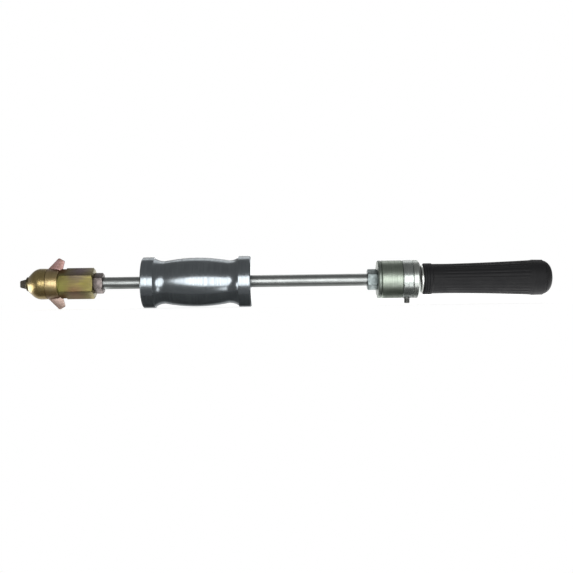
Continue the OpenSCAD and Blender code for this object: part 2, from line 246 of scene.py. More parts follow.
light_distance = 950 * mm
soft_box("front_soft_box", width=1200 * mm, height=720 * mm, brightness=4.6,
         place=(350 * mm, -light_distance, 10 * mm), turn=(90, 14, 0))
soft_box("rear_soft_box", width=1500 * mm, height=400 * mm, brightness=1.6,
         place=(aim_x, light_distance, 120 * mm), turn=(-90, 0, 0))
soft_box("overhead_soft_box", width=1300 * mm, height=500 * mm, brightness=1.3,
         place=(480 * mm, 620 * mm, 700 * mm), turn=(-42, 0, 0))
soft_box("nose_soft_box", width=1300 * mm, height=360 * mm, brightness=4.5,
         place=(-680 * mm, 80 * mm, -200 * mm), turn=(90, 0, -94))
soft_box("low_soft_box", width=320 * mm, height=380 * mm, brightness=3.2,
         place=(560 * mm, -800 * mm, -600 * mm), turn=(126, 0, 12))


# The rod is a 12 mm round bar, ground and polished, with a thinner tail inside the handle.
# It is threaded into the chuck at the front and into the terminal body at the rear.
steps_around = 96
# The inputs of the turning rule, with their kinds and values that add nothing.
turning_inputs = [("Around", "Int", steps_around), ("Flutes", "Int", 0),
                  ("Flute Narrowness", "Float", 1.0), ("Thread Pitch", "Float", 1 * mm)]
for cut in ("Flute ", "Thread "):
    turning_inputs += [(cut + what, "Float", 0.0)
                       for what in ("Depth", "Start", "Full", "Fading", "End")]
seam_reach = 0.002 * mm
same_spot = 0.001 * mm
crease = math.radians(32)


def turning_rule():
    """Geometry nodes that turn an outline about X, cut flutes along it and a thread round it."""
    rule = bpy.data.node_groups.new("turned_outline", "GeometryNodeTree")
    face = rule.interface
    face.new_socket("Geometry", in_out="OUTPUT", socket_type="NodeSocketGeometry")
    face.new_socket("Outline", in_out="INPUT", socket_type="NodeSocketGeometry")
    for name, kind, _ in turning_inputs:
        face.new_socket(name, in_out="INPUT", socket_type="NodeSocket" + kind)
    face.new_socket("Finish", in_out="INPUT", socket_type="NodeSocketMaterial")
    given = add_node(rule, "NodeGroupInput")

    # The grid has a row for each point of the outline, and a column for each step around.
    count = add_node(rule, "GeometryNodeAttributeDomainSize", {"Geometry": given["Outline"]},
                     component="MESH")["Point Count"]
    columns = add_node(rule, "ShaderNodeMath", {0: given["Around"], 1: 1}, operation="ADD")[0]
    grid = add_node(rule, "GeometryNodeMeshGrid", {"Vertices X": columns, "Vertices Y": count})
    turn = add_node(rule, "ShaderNodeSeparateXYZ", {0: grid["UV Map"]})["X"]
    index = add_node(rule, "GeometryNodeInputIndex")[0]
    row = add_node(rule, "ShaderNodeMath", {0: index, 1: count}, operation="MODULO")[0]
    position = add_node(rule, "GeometryNodeInputPosition")[0]
    point = add_node(rule, "GeometryNodeSampleIndex",
                     {"Geometry": given["Outline"], "Value": position, "Index": row},
                     data_type="FLOAT_VECTOR")[0]
    part = add_node(rule, "ShaderNodeSeparateXYZ", {0: point})
    place, radius = part["X"], part["Z"]

    # Flutes follow the cosine of the angle around, and a thread is a zigzag that moves on by
    # its pitch with each turn. Both run in and out, and are taken off the radius.
    for kind, cut, steps in (
            ("Flute", turn, (("MULTIPLY", given["Flutes"]), ("MULTIPLY", math.pi),
                             ("COSINE", 0), ("ABSOLUTE", 0),
                             ("POWER", given["Flute Narrowness"]))),
            ("Thread", place, (("DIVIDE", given["Thread Pitch"]), ("SUBTRACT", turn),
                               ("ADD", 0.5), ("PINGPONG", 0.5), ("MULTIPLY", 2)))):
        for operation, number in (*steps, ("MULTIPLY", given[kind + " Depth"])):
            cut = add_node(rule, "ShaderNodeMath", {0: cut, 1: number},
                           operation=operation)[0]
        cut = within(rule, cut, (place, given[kind + " Start"], given[kind + " Full"]),
                     (place, given[kind + " End"], given[kind + " Fading"]), growth="LINEAR")
        radius = add_node(rule, "ShaderNodeMath", {0: radius, 1: cut}, operation="SUBTRACT")[0]

    spoke = add_node(rule, "ShaderNodeCombineXYZ", {"X": place, "Z": radius})[0]
    angle = add_node(rule, "ShaderNodeMath", {0: turn, 1: math.tau}, operation="MULTIPLY")[0]
    swung = add_node(rule, "ShaderNodeVectorRotate", {"Vector": spoke, "Angle": angle},
                     rotation_type="X_AXIS", invert=True)[0]
    round_grid = add_node(rule, "GeometryNodeSetPosition",
                          {"Geometry": grid["Mesh"], "Position": swung})[0]
    closed = add_node(rule, "GeometryNodeMergeByDistance",
                      {"Geometry": round_grid, "Distance": seam_reach})[0]
    real = add_node(rule, "GeometryNodeRealizeInstances", {0: closed})[0]
    dressed = add_node(rule, "GeometryNodeSetMaterial",
                       {"Geometry": real, "Material": given["Finish"]})[0]
    add_node(rule, "NodeGroupOutput", {0: dressed})
    return rule


def rounded(corners, steps=4):
    """Points of an outline from corners given as place on X, radius and rounding.
    An outline that starts off the axis is closed into a ring."""
    ring = corners[0][1] > 0
    points = []
    for i, (x, r, rounding) in enumerate(corners):
        here = Vector((x, r))
        if rounding == 0:
            points.append(here)
            continue
        before = (Vector(corners[i - 1][:2]) - here).normalized()
        after = (Vector(corners[(i + 1) % len(corners)][:2]) - here).normalized()
        half = before.angle(after) / 2
        reach = rounding / math.tan(half)
        centre = here + (before + after).normalized() * rounding / math.sin(half)
        first = here + before * reach - centre
        last = here + after * reach - centre
        hold = reach / 3
        points.append(here + before * (reach + hold))
        for k in range(steps + 1):
            points.append(centre + first.lerp(last, k / steps).normalized() * rounding)
        points.append(here + after * (reach + hold))
    if ring:
        points.append(points[0])
    return points


def smooth_by_angle(mesh):
    """Merges what coincides, closes what that opens, turns the faces outwards and keeps
    only real edges sharp."""
    shell = bmesh.new()
    shell.from_mesh(mesh)
    bmesh.ops.remove_doubles(shell, verts=shell.verts, dist=same_spot)
    bmesh.ops.dissolve_degenerate(shell, edges=shell.edges, dist=same_spot)
    bmesh.ops.holes_fill(shell, edges=[edge for edge in shell.edges if edge.is_boundary])
    bmesh.ops.recalc_face_normals(shell, faces=shell.faces)
    shell.to_mesh(mesh)
    shell.free()
    mesh.shade_smooth()
    mesh.set_sharp_from_angle(angle=crease)


def settle(piece):
    """Makes the modifiers' result the piece's own mesh and removes them."""
    view = bpy.context.evaluated_depsgraph_get()
    made = bpy.data.meshes.new_from_object(piece.evaluated_get(view))
    piece.modifiers.clear()
    piece.data = made
    smooth_by_angle(made)
    return piece


turn_tree = turning_rule()


def turned(name, points, finish, around=steps_around, **rule_sizes):
    """A piece turned about X from the points of its outline, with any flutes or thread."""
    outline = bpy.data.meshes.new(name)
    outline.from_pydata([(x, 0, r) for x, r in points], [], [])
    piece = in_scene(name, outline)
    lathe = piece.modifiers.new("turning", "NODES")
    lathe.node_group = turn_tree
    sizes = {key: neutral for key, _, neutral in turning_inputs}
    sizes.update({key.replace("_", " ").title(): value for key, value in rule_sizes.items()})
    sizes.update({"Around": around, "Finish": finish})
    for socket in turn_tree.interface.items_tree:
        if socket.name in sizes:
            lathe[socket.identifier] = sizes[socket.name]
    return settle(piece)


def seat(piece, body, node):
    """The piece rides on a body and stands for its CAD node, which is hidden."""
    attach(piece, body)
    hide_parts(node)


# A colour mix takes its share and its two colours, and gives its result, at these sockets.
mix_share = 0
mix_first = 6
mix_second = 7
mix_result = 2
# A noise mostly stays between the first two of these, and the sum of two between the others.
noise_low = 0.3
noise_high = 0.7
blend_low = 0.75
blend_high = 1.25
noise_roughness = 0.6
film_roughness = 0.3


def metal(name, bright, dull, roughness, grain, patch, relief=0.006 * mm,
          roughness_swing=0.08, film=0.0):
    """A bare or plated metal: cloudy between two colours, with tool marks.
    grain is the size of one mark along X, Y and Z, patch that of the clouds, and film
    the share of a clear passivation film, which pales the highlights. Real tool marks
    are 0.1 to 0.2 mm apart, and they are drawn about 1 mm apart so that they show."""
    finish, tree = empty_material(name)
    place = add_node(tree, "ShaderNodeTexCoord")["Object"]
    stretched = add_node(tree, "ShaderNodeMapping",
                         {"Vector": place, "Scale": [1 / size for size in grain]})[0]
    marks = add_node(tree, "ShaderNodeTexNoise",
                     {"Vector": stretched, "Scale": 1, "Detail": 3,
                      "Roughness": noise_roughness})[0]
    clouds = add_node(tree, "ShaderNodeTexNoise",
                      {"Vector": place, "Scale": 1 / patch, "Detail": 4,
                       "Roughness": noise_roughness})[0]
    blend = add_node(tree, "ShaderNodeMath", {0: marks, 1: clouds}, operation="ADD")[0]
    share = add_node(tree, "ShaderNodeMapRange",
                     {"Value": blend, "From Min": blend_low, "From Max": blend_high})[0]
    tint = add_node(tree, "ShaderNodeMix", {mix_share: share, mix_first: colour(bright),
                                            mix_second: colour(dull)}, data_type="RGBA")
    rough = add_node(tree, "ShaderNodeMapRange",
                     {"Value": marks, "From Min": noise_low, "From Max": noise_high,
                      "To Min": roughness - roughness_swing,
                      "To Max": roughness + roughness_swing})[0]
    bump = add_node(tree, "ShaderNodeBump",
                    {"Height": marks, "Strength": 1, "Distance": relief})[0]
    shader = add_node(tree, "ShaderNodeBsdfPrincipled",
                      {"Base Color": tint[mix_result], "Metallic": 1, "Roughness": rough,
                       "Normal": bump, "Coat Weight": film, "Coat Roughness": film_roughness})
    add_node(tree, "ShaderNodeOutputMaterial", {"Surface": shader[0]})
    return finish


# The bar is polished along its length, which leaves fine lines that widen its highlight.
ground_steel = metal("drawn_polished_steel", "#929594", "#828584", roughness=0.38,
                     grain=(60 * mm, 1.2 * mm, 1.2 * mm), patch=9 * mm, relief=0.003 * mm)
rod_low, rod_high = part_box("rod")
rod_r = rod_high.z
rod_tail_r = 5 * mm
rod_tail_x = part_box("insulating_washer")[0].x
rod_end_chamfer = 1 * mm
rod_edge = 0.2 * mm
rod = turned("rod_bar", rounded([
    (rod_low.x, 0, 0),
    (rod_low.x, rod_r - rod_end_chamfer, 0),
    (rod_low.x + rod_end_chamfer, rod_r, rod_edge),
    (rod_tail_x, rod_r, rod_edge),
    (rod_tail_x, rod_tail_r, 0),
    (rod_high.x - rod_end_chamfer, rod_tail_r, rod_edge),
    (rod_high.x, rod_tail_r - rod_end_chamfer, 0),
    (rod_high.x, 0, 0),
]), ground_steel)
seat(rod, "shaft", "rod")


# The lock nut and the stop nut are M12 hexagon nuts, pressed, chamfered and zinc plated.
# One is tightened against the chuck, the other takes the blow of the weight.
def solid(name, shell, finishes):
    """An object in the scene from a shell of faces, with its finishes."""
    mesh = bpy.data.meshes.new(name)
    shell.to_mesh(mesh)
    shell.free()
    for finish in finishes:
        mesh.materials.append(finish)
    smooth_by_angle(mesh)
    return in_scene(name, mesh)


def prism(name, ends, finish):
    """A solid between two outlines that have the same number of points."""
    shell = bmesh.new()
    rings = [[shell.verts.new(point) for point in end] for end in ends]
    for ring in rings:
        shell.faces.new(ring)
    near, far = rings
    for k in range(len(near)):
        n = (k + 1) % len(near)
        shell.faces.new((near[k], near[n], far[n], far[k]))
    return solid(name, shell, [finish])


def boolean(piece, tool, operation):
    """Cuts or intersects a piece with a tool object, which is then gone.
    The cut faces take the piece's own finish."""
    finish = piece.data.materials[-1]
    tool.data.materials.clear()
    tool.data.materials.append(finish)
    cut = piece.modifiers.new("cut", "BOOLEAN")
    cut.operation = operation
    cut.solver = "EXACT"
    cut.object = tool
    settle(piece)
    piece.data.materials.clear()
    piece.data.materials.append(finish)
    bpy.data.objects.remove(tool)
    return piece


overrun = 1 * mm
edge_steps = 2
hexagon_chamfer_slope = math.tan(math.radians(30))


def edged(piece, width, least=math.radians(24)):
    """Breaks the sharp edges of a piece by a small width."""
    edge = piece.modifiers.new("edge", "BEVEL")
    edge.width = width
    edge.segments = edge_steps
    edge.limit_method = "ANGLE"
    edge.angle_limit = least
    return settle(piece)


def hexagon(name, low_x, high_x, across_flats, rear_r, finish):
    """A hexagon bar along X, corner up, with its ends turned back at 30 degrees: the front
    one to the flats, the rear one to its own radius."""
    flat_r = across_flats / 2
    corner_r = flat_r / math.cos(math.radians(30))
    angles = [math.radians(90 + 60 * k) for k in range(6)]
    piece = prism(name, [[(x, corner_r * math.cos(a), corner_r * math.sin(a)) for a in angles]
                         for x in (low_x, high_x)], finish)
    over_r = corner_r + overrun
    blank = turned(name + "_blank", [
        (low_x, 0),
        (low_x, flat_r),
        (low_x + (over_r - flat_r) * hexagon_chamfer_slope, over_r),
        (high_x - (over_r - rear_r) * hexagon_chamfer_slope, over_r),
        (high_x, rear_r),
        (high_x, 0),
    ], finish)
    return boolean(piece, blank, "INTERSECT")


# Zinc that is only plated has a fine dull grain, so a flat shows one soft tone. The front
# nut's is rubbed thin, so it is darker and warmer.
nut_zinc = metal("grey_zinc_plated_steel", "#7C8484", "#666E6E", roughness=0.48,
                 grain=(2.5 * mm, 2.5 * mm, 2.5 * mm), patch=6 * mm)
worn_nut_zinc = metal("grey_zinc_rubbed_thin", "#706866", "#5E5856", roughness=0.48,
                      grain=(2.5 * mm, 2.5 * mm, 2.5 * mm), patch=5 * mm)
nut_af = 18 * mm
nut_edge = 0.25 * mm
nut_sink = 0.5 * mm
thread_gap = 0.05 * mm
nut_bore_r = rod_r + thread_gap
for node, finish in (("front_lock_nut", worn_nut_zinc), ("rear_stop_nut", nut_zinc)):
    low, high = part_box(node)
    nut = hexagon(node + "_m12", low.x, high.x, nut_af, nut_af / 2, finish)
    drill = turned(node + "_drill", [
        (low.x - overrun, 0),
        (low.x - overrun, nut_bore_r + nut_sink + overrun),
        (low.x + nut_sink, nut_bore_r),
        (high.x - nut_sink, nut_bore_r),
        (high.x + overrun, nut_bore_r + nut_sink + overrun),
        (high.x + overrun, 0),
    ], finish)
    nut = boolean(nut, drill, "DIFFERENCE")
    seat(edged(nut, nut_edge), "shaft", node)


# The star is stamped from 3 mm steel and flashed with copper. One of its three points is
# welded to the sheet, so it is dark with soot and heat, and the other two wait their turn.
star_low, star_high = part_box("star_bit")
star_half_t = star_high.y
star_tip_half = 3.25 * mm
star_taper = math.radians(15)
star_valley_r = 6 * mm
star_valley_steps = 10
star_tip_chamfer = 0.6 * mm
star_edge = 0.3 * mm
star_least_edge = math.radians(20)
star_arm = math.radians(60)
star_reach = ((star_high.x - star_low.x - star_tip_half * math.sin(star_arm))
              / (1 + math.cos(star_arm)))
star_valley_half = star_arm + star_taper
star_neck = ((star_tip_half + star_reach * math.tan(star_taper))
             / (math.sin(star_arm) + math.cos(star_arm) * math.tan(star_taper)))
# Painted light: the plate is paler towards its lower point.
copper_painted_light = "#AE9C90"
painted_light_from_z = 4 * mm
painted_light_to_z = -16 * mm
painted_light_most = 0.7
soot_black = "#4C4B42"
soot_end_x = 12 * mm
soot_fade = 6 * mm
soot_grain = 3 * mm
soot_most = 0.95


def ragged(tree, place, value, grain, width):
    """A value shifted by a noise, so that a border drawn by it is uneven."""
    smudge = add_node(tree, "ShaderNodeTexNoise",
                      {"Vector": place, "Scale": 1 / grain, "Detail": 3})[0]
    return add_node(tree, "ShaderNodeMath", {0: smudge, 1: width, 2: value},
                    operation="MULTIPLY_ADD")[0]


def laid_over(finish, hex_text, most, *borders):
    """Covers a finish's colour with another one, by a share of up to most in its borders."""
    tree = finish.node_tree
    shader = next(node for node in tree.nodes if node.type == "BSDF_PRINCIPLED")
    clean = shader.inputs["Base Color"].links[0].from_socket
    cover = add_node(tree, "ShaderNodeMix",
                     {mix_share: within(tree, most, *borders), mix_first: clean,
                      mix_second: colour(hex_text)}, data_type="RGBA")
    tree.links.new(cover[mix_result], shader.inputs["Base Color"])


def star_outline(y):
    """Three blunt points and the round valleys between them, on one side of the plate."""
    points = []
    flare = star_tip_chamfer * math.tan(star_taper)
    centre = star_neck + star_valley_r / math.sin(star_valley_half)
    for turn in (math.pi, -star_arm, star_arm):
        for along, across in (
                (star_reach - star_tip_chamfer, -star_tip_half - flare),
                (star_reach, -star_tip_half + star_tip_chamfer),
                (star_reach, star_tip_half - star_tip_chamfer),
                (star_reach - star_tip_chamfer, star_tip_half + flare)):
            points.append((star_reach + along * math.cos(turn) - across * math.sin(turn), y,
                           along * math.sin(turn) + across * math.cos(turn)))
        middle = turn + star_arm
        sweep = math.pi / 2 - star_valley_half
        for k in range(star_valley_steps + 1):
            a = middle + math.pi + sweep * (1 - 2 * k / star_valley_steps)
            points.append((star_reach + centre * math.cos(middle) + star_valley_r * math.cos(a),
                           y, centre * math.sin(middle) + star_valley_r * math.sin(a)))
    return points


# A copper flash is thin and satin: a dusty pink, paler towards the lower point as a
# painted light, and nearly black with soot at the working point.
copper = metal("copper_flashed_steel", "#987A7A", "#84685F", roughness=0.5,
               grain=(6 * mm, 1.2 * mm, 1.2 * mm), patch=5 * mm)
tree = copper.node_tree
place, star_part = own_place(tree)
sooty_x = ragged(tree, place, star_part["X"], soot_grain, soot_fade)
laid_over(copper, copper_painted_light, painted_light_most, (star_part["Z"], painted_light_from_z, painted_light_to_z))
laid_over(copper, soot_black, soot_most, (sooty_x, soot_end_x + soot_fade, soot_end_x))

star = prism("star_plate", [star_outline(-star_half_t), star_outline(star_half_t)], copper)
seat(edged(star, star_edge, star_least_edge), "shaft", "star_bit")


# The clamp cone is a small hardened ring inside the cap. It grips the working point and
# does not turn when the cap is screwed on.
def repaint(node, finish):
    """Gives a CAD node that stays its finish."""
    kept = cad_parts[node]
    kept.data.materials.clear()
    kept.data.materials.append(finish)


# Oil blacking is dark and satin, and the turning marks show through it.
tool_steel = metal("oil_blacked_steel", "#4A4B4D", "#353637", roughness=0.4,
                   grain=(1.2 * mm, 20 * mm, 20 * mm), patch=4 * mm)
repaint("clamp_cone", tool_steel)

# The chuck is one piece: a threaded spigot for the cap, a round shoulder, a groove and a
# 27 mm hexagon. It is turned and milled from steel, slotted for the star and zinc plated.
chuck_low, chuck_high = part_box("chuck_body")
cap_low, cap_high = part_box("nose_cap")
nose_r = cap_high.z
joint_gap = 0.5 * mm
joint_inset = 0.3 * mm
joint_r = nose_r - 0.8 * mm
shoulder_x = cap_high.x + joint_gap
shoulder_len = 11.4 * mm
shoulder_drop = 1 * mm
shoulder_steps = 12
groove_x = shoulder_x + shoulder_len
groove_w = 1 * mm
groove_r = nose_r - 2.2 * mm
spigot_r = 12.45 * mm
spigot_pitch = 1.5 * mm
spigot_thread_depth = 0.75 * mm
spigot_chamfer = 0.75 * mm
spigot_steps = 60
spigot_front_x = chuck_low.x + spigot_chamfer
spigot_rear_x = shoulder_x - (joint_r - spigot_r)
spigot_thread_x = chuck_low.x + spigot_chamfer / 2
spigot_thread_end_x = spigot_rear_x - spigot_pitch
hex_x = groove_x + groove_w
hex_af = 27 * mm
hex_corner_r = hex_af / 2 / math.cos(math.radians(30))
hex_rear_chamfer = 3 * mm
slip_gap = 0.1 * mm
slot_half = star_half_t + slip_gap
slot_end_x = star_high.x + 2.2 * mm
slot_reach = 30 * mm
chuck_edge = 0.35 * mm
steps_around_wide = 128
# Painted reflection and shade: brown beside the star's slot, for the copper wings mirrored in
# the chuck and the shade between them.
wing_reflection_brown = "#5A3418"
wing_reflection_most = 0.65
wing_reflection_low_x = 26 * mm
wing_reflection_high_x = 44 * mm
wing_reflection_fade_low = 4 * mm
wing_reflection_fade_high = 6 * mm
wing_reflection_half_w = 9 * mm
wing_reflection_grain = 4 * mm
film_core = 4 * mm
film_fade = 8 * mm
film_grain = 5 * mm


def film_colour(finish, tint, x, z, reach, most):
    """A patch where the plating's clear film is of another thickness and so another colour."""
    tree = finish.node_tree
    place, part = own_place(tree)
    seen_from_side = add_node(tree, "ShaderNodeCombineXYZ", {"X": part["X"], "Z": part["Z"]})[0]
    away = add_node(tree, "ShaderNodeVectorMath", {0: seen_from_side, 1: (x, 0, z)},
                    operation="DISTANCE")["Value"]
    border = ragged(tree, place, away, film_grain, film_fade)
    laid_over(finish, tint, most, (border, reach + film_fade, film_core))


def painted_wing_reflection(finish):
    """Browns a finish beside the star's slot: a painted reflection of the copper wings and
    painted shade in the slot.
    """
    tree = finish.node_tree
    place, part = own_place(tree)
    half_w = add_node(tree, "ShaderNodeMath", {0: part["Y"]}, operation="ABSOLUTE")[0]
    aside = ragged(tree, place, half_w, wing_reflection_grain, wing_reflection_fade_high)
    laid_over(finish, wing_reflection_brown, wing_reflection_most,
              (aside, wing_reflection_half_w + wing_reflection_fade_high, wing_reflection_half_w),
              (part["X"], wing_reflection_low_x - wing_reflection_fade_low, wing_reflection_low_x),
              (part["X"], wing_reflection_high_x + wing_reflection_fade_high, wing_reflection_high_x))


def joined(name, pieces):
    """One object from several that overlap inside, with all their finishes."""
    finishes = []
    whole = bmesh.new()
    for piece in pieces:
        start = len(whole.faces)
        whole.from_mesh(piece.data)
        whole.faces.ensure_lookup_table()
        finish = piece.data.materials[0]
        if finish not in finishes:
            finishes.append(finish)
        for face in whole.faces[start:]:
            face.material_index = finishes.index(finish)
        bpy.data.objects.remove(piece)
    return solid(name, whole, finishes)


# Yellow passivated zinc is clouded between straw and olive under a clear film. Turned, it
# has a soft pale shine. Milled, it is duller, and the film shows as patches of green,
# yellow, brown and violet.
turned_zinc = metal("turned_yellow_zinc", "#AE9C6E", "#967F52", roughness=0.4,
                    grain=(0.9 * mm, 30 * mm, 30 * mm), patch=7 * mm, relief=0.004 * mm,
                    film=0.8)
milled_zinc = metal("milled_olive_zinc", "#7A733C", "#665B3A", roughness=0.52,
                    grain=(14 * mm, 1.1 * mm, 1.1 * mm), patch=8 * mm, film=0.3)
film_colour(milled_zinc, "#8D8A4A", x=43 * mm, z=-5 * mm, reach=12 * mm, most=0.8)
film_colour(milled_zinc, "#665E22", x=66 * mm, z=1 * mm, reach=11 * mm, most=0.85)
film_colour(milled_zinc, "#785442", x=56 * mm, z=-10 * mm, reach=11 * mm, most=0.7)
film_colour(milled_zinc, "#5C4858", x=60 * mm, z=15 * mm, reach=13 * mm, most=0.8)
# Painted reflection of the wings and painted shade beside the slot.
painted_wing_reflection(turned_zinc)
painted_wing_reflection(milled_zinc)

spigot_points = [(chuck_low.x, 0), (chuck_low.x, spigot_r - spigot_chamfer)]
spigot_len = spigot_rear_x - spigot_front_x
for k in range(spigot_steps + 1):
    spigot_points.append((spigot_front_x + spigot_len * k / spigot_steps, spigot_r))
spigot_points += [(groove_x, spigot_r), (groove_x, 0)]
spigot = turned("chuck_spigot", spigot_points, turned_zinc,
                thread_pitch=spigot_pitch, thread_depth=spigot_thread_depth,
                thread_start=spigot_thread_x, thread_full=spigot_thread_x + spigot_pitch / 2,
                thread_fading=spigot_thread_end_x - spigot_pitch / 2,
                thread_end=spigot_thread_end_x)
shoulder_points = [(spigot_rear_x, 0), (spigot_rear_x, spigot_r)]
for k in range(shoulder_steps + 1):
    share = k / shoulder_steps
    shoulder_points.append((shoulder_x + (groove_x - chuck_edge - shoulder_x) * share,
                            nose_r - joint_inset - shoulder_drop * share ** 2))
shoulder_points += [
    (groove_x, nose_r - joint_inset - shoulder_drop - chuck_edge),
    (groove_x, 0),
]
shoulder = turned("chuck_shoulder", shoulder_points, turned_zinc, steps_around_wide)
groove_floor = turned("chuck_groove", [
    (groove_x - groove_w, 0), (groove_x - groove_w, groove_r),
    (hex_x + groove_w, groove_r), (hex_x + groove_w, 0)], milled_zinc)
hexagon_part = hexagon("chuck_hexagon", hex_x, chuck_high.x, hex_af,
                       hex_corner_r - hex_rear_chamfer * hexagon_chamfer_slope, milled_zinc)
slotted = []
for part in (spigot, shoulder, groove_floor, hexagon_part):
    cutter = prism("slot_cutter", [
        [(x, y, z) for y, z in ((-slot_half, -slot_reach), (slot_half, -slot_reach),
                                (slot_half, slot_reach), (-slot_half, slot_reach))]
        for x in (chuck_low.x - overrun, slot_end_x)], milled_zinc)
    slotted.append(boolean(part, cutter, "DIFFERENCE"))
slotted[-1] = edged(slotted[-1], chuck_edge)
chuck = joined("chuck", slotted)
seat(chuck, "shaft", "chuck_body")

# The cap is turned from steel and yellow zinc plated. It has a low lip round its hole, then a
# 45 degree cone with a round bend to the barrel, and it screws on the chuck to clamp the star.
cap_hole_r = 5.64 * mm
cap_hole_edge = 0.3 * mm
cap_lip_r = 7.1 * mm
cap_lip_edge = 0.4 * mm
cap_face_x = cap_low.x + 2.6 * mm
cap_face_r = 8.4 * mm
cap_step_edge = 0.2 * mm
cap_face_edge = 0.3 * mm
cap_bend_r = 12 * mm
cap_bend_steps = 8
cap_rim_edge = 0.25 * mm
cap_joint_edge = 0.1 * mm
cap_thread_r = 12.5 * mm
cap_wall = 2 * mm
cap_seat_r = cap_hole_r + 1 * mm
cap_inner_drop = cap_face_r - cap_face_x - cap_wall / math.sin(math.radians(45))
cap_thread_rear_x = cap_high.x - (joint_r - cap_thread_r)
lip_dark_olive = "#45422A"
lip_dark_most = 0.85
lip_dark_from = cap_face_x + 0.5 * mm
lip_dark_to = cap_face_x - 0.3 * mm

# The same zinc, turned with a finer cut, has a tighter and brighter highlight. At the lip
# it is dark olive.
cap_zinc = metal("turned_yellow_zinc_cap", "#A69461", "#8C784A", roughness=0.32,
                 grain=(0.8 * mm, 30 * mm, 30 * mm), patch=6 * mm, film=0.5)
cap_part = own_place(cap_zinc.node_tree)[1]
laid_over(cap_zinc, lip_dark_olive, lip_dark_most, (cap_part["X"], lip_dark_from, lip_dark_to))
cap = turned("nose_cap_turned", rounded([
    (cap_low.x, cap_hole_r, cap_hole_edge),
    (cap_low.x, cap_lip_r, cap_lip_edge),
    (cap_face_x, cap_lip_r, cap_step_edge),
    (cap_face_x, cap_face_r, cap_face_edge),
    (cap_face_x + nose_r - cap_face_r, nose_r, cap_bend_r),
    (cap_high.x, nose_r - joint_inset, cap_rim_edge),
    (cap_high.x, joint_r, cap_joint_edge),
    (cap_thread_rear_x, cap_thread_r, 0),
    (cap_thread_r - cap_inner_drop, cap_thread_r, 0),
    (cap_seat_r - cap_inner_drop, cap_seat_r, 0),
], cap_bend_steps), cap_zinc, steps_around_wide)
seat(cap, "cap", "nose_cap")

# The weight is turned from a steel bar: two flanges, a hollow behind each, two necks and a
# belly. It is polished and bright plated, and its bore holds the plastic liner.
weight_low, weight_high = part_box("hammer_weight")
weight_mid_x = (weight_low.x + weight_high.x) / 2
weight_half = (weight_high.x - weight_low.x) / 2
flange_r = weight_high.z
flange_w = 12.4 * mm
flange_chamfer = 1 * mm
flange_edge = 0.3 * mm
neck_r = 21.4 * mm
neck_run = 9.7 * mm
neck_curve_r = 17 * mm
belly_r = 24.5 * mm
belly_half = weight_half - flange_w - neck_run
belly_sag = belly_r - neck_r
belly_arc_r = (belly_half ** 2 + belly_sag ** 2) / (2 * belly_sag)
neck_angle = math.asin(neck_run / neck_curve_r)
belly_angle = math.asin(belly_half / belly_arc_r)
curve_steps = 14
liner_bore_r = 8.08 * mm
lip_bore_r = 6.5 * mm
lip_len = 3 * mm
bore_edge = 0.4 * mm
weight_steps_around = 160


def weight_half_outline(side):
    """Corners from one end face to the belly; side is -1 for the front and 1 for the rear."""
    end_x = weight_mid_x + side * weight_half
    corners = [
        (end_x, flange_r - flange_chamfer, flange_edge),
        (end_x - side * flange_chamfer, flange_r, flange_edge),
        (end_x - side * flange_w, flange_r, flange_edge),
    ]
    for k in range(curve_steps + 1):
        a = neck_angle * (1 - k / curve_steps)
        inset = flange_w + neck_run - neck_curve_r * math.sin(a)
        corners.append((end_x - side * inset, neck_r + neck_curve_r * (1 - math.cos(a)), 0))
    for k in range(1, curve_steps):
        a = belly_angle * (1 - k / curve_steps)
        corners.append((weight_mid_x + side * belly_arc_r * math.sin(a),
                        belly_r - belly_arc_r * (1 - math.cos(a)), 0))
    return corners


# Polish and bright plating make hard light and dark bands along the weight, which the fine
# turning marks break up a little.
polished_steel = metal("polished_plated_steel", "#868C90", "#767C80", roughness=0.22,
                       grain=(1.3 * mm, 50 * mm, 50 * mm), patch=16 * mm, relief=0.003 * mm,
                       roughness_swing=0.05)
weight_corners = (
    [(weight_low.x + lip_len, lip_bore_r, 0), (weight_low.x, lip_bore_r, bore_edge)]
    + weight_half_outline(-1)
    + [(weight_mid_x, belly_r, 0)]
    + weight_half_outline(1)[::-1]
    + [(weight_high.x, liner_bore_r, bore_edge), (weight_low.x + lip_len, liner_bore_r, 0)]
)
weight = turned("weight_turned", rounded(weight_corners), polished_steel, weight_steps_around)
seat(weight, "weight", "hammer_weight")
repaint("liner_circlip", tool_steel)


# The liner is a nylon tube in the weight's bore, which lets it run on the rod without
# scratching it, and the insulating sleeve in the handle is the same stock.
def clouded_plastic(name, light, dark, grain, roughness):
    """A plain plastic, faintly uneven between two colours."""
    finish, tree = empty_material(name)
    place = add_node(tree, "ShaderNodeTexCoord")["Object"]
    cloud = add_node(tree, "ShaderNodeTexNoise",
                     {"Vector": place, "Scale": 1 / grain, "Detail": 3})[0]
    tint = add_node(tree, "ShaderNodeMix", {mix_share: cloud, mix_first: colour(light),
                                            mix_second: colour(dark)}, data_type="RGBA")
    shader = add_node(tree, "ShaderNodeBsdfPrincipled",
                      {"Base Color": tint[mix_result], "Roughness": roughness})
    add_node(tree, "ShaderNodeOutputMaterial", {"Surface": shader[0]})
    return finish


# Natural nylon is milky and a little waxy.
nylon = clouded_plastic("natural_nylon", "#E4E1D6", "#D2CDBC", grain=6 * mm, roughness=0.45)
repaint("weight_liner", nylon)
repaint("insulating_sleeve", nylon)

# The striker plate is a turned disc between the stop nut and the terminal body, zinc plated
# and dulled by the blows. The clamp ring at the rear and the washer in front of the grip
# have the same plating and are still bright.
ring_edge = 0.2 * mm
ring_chamfer = 0.6 * mm
striker_front_chamfer = 0.8 * mm
clamp_rear_chamfer = 2 * mm
handle_washer_hole_r = 7.1 * mm


